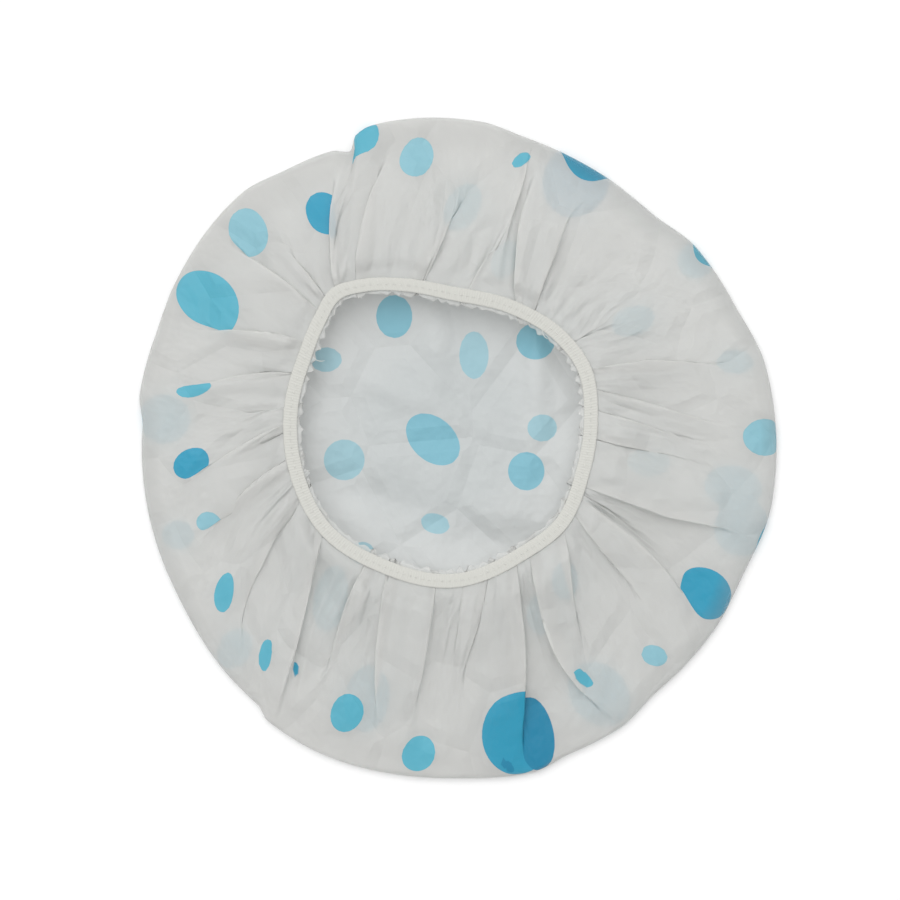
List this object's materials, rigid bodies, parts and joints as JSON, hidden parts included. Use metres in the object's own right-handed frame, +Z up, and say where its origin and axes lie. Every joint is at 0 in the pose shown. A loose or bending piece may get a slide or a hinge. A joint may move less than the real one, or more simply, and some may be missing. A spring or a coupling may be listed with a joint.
{
  "type": "shower cap",
  "caption": "Gathered film shower cap lying on its crown, with an elastic tape sewn round its opening, to keep hair dry.",
  "frame": {"origin": "on the surface the cap lies on, under the middle of the cap's box", "axes": "+Z up out of the opening, +Y along the cap's slightly longer way across, +X to the right of it"},
  "size_m": [0.2798, 0.2904, 0.0239],
  "materials": {
    "dotted_film": "milky translucent film, softly glossy",
    "elastic_tape": "ribbed white knit elastic"
  },
  "bodies": {
    "root": {"cap_film": "dotted_film", "elastic_band": "elastic_tape"}
  },
  "joints": []
}
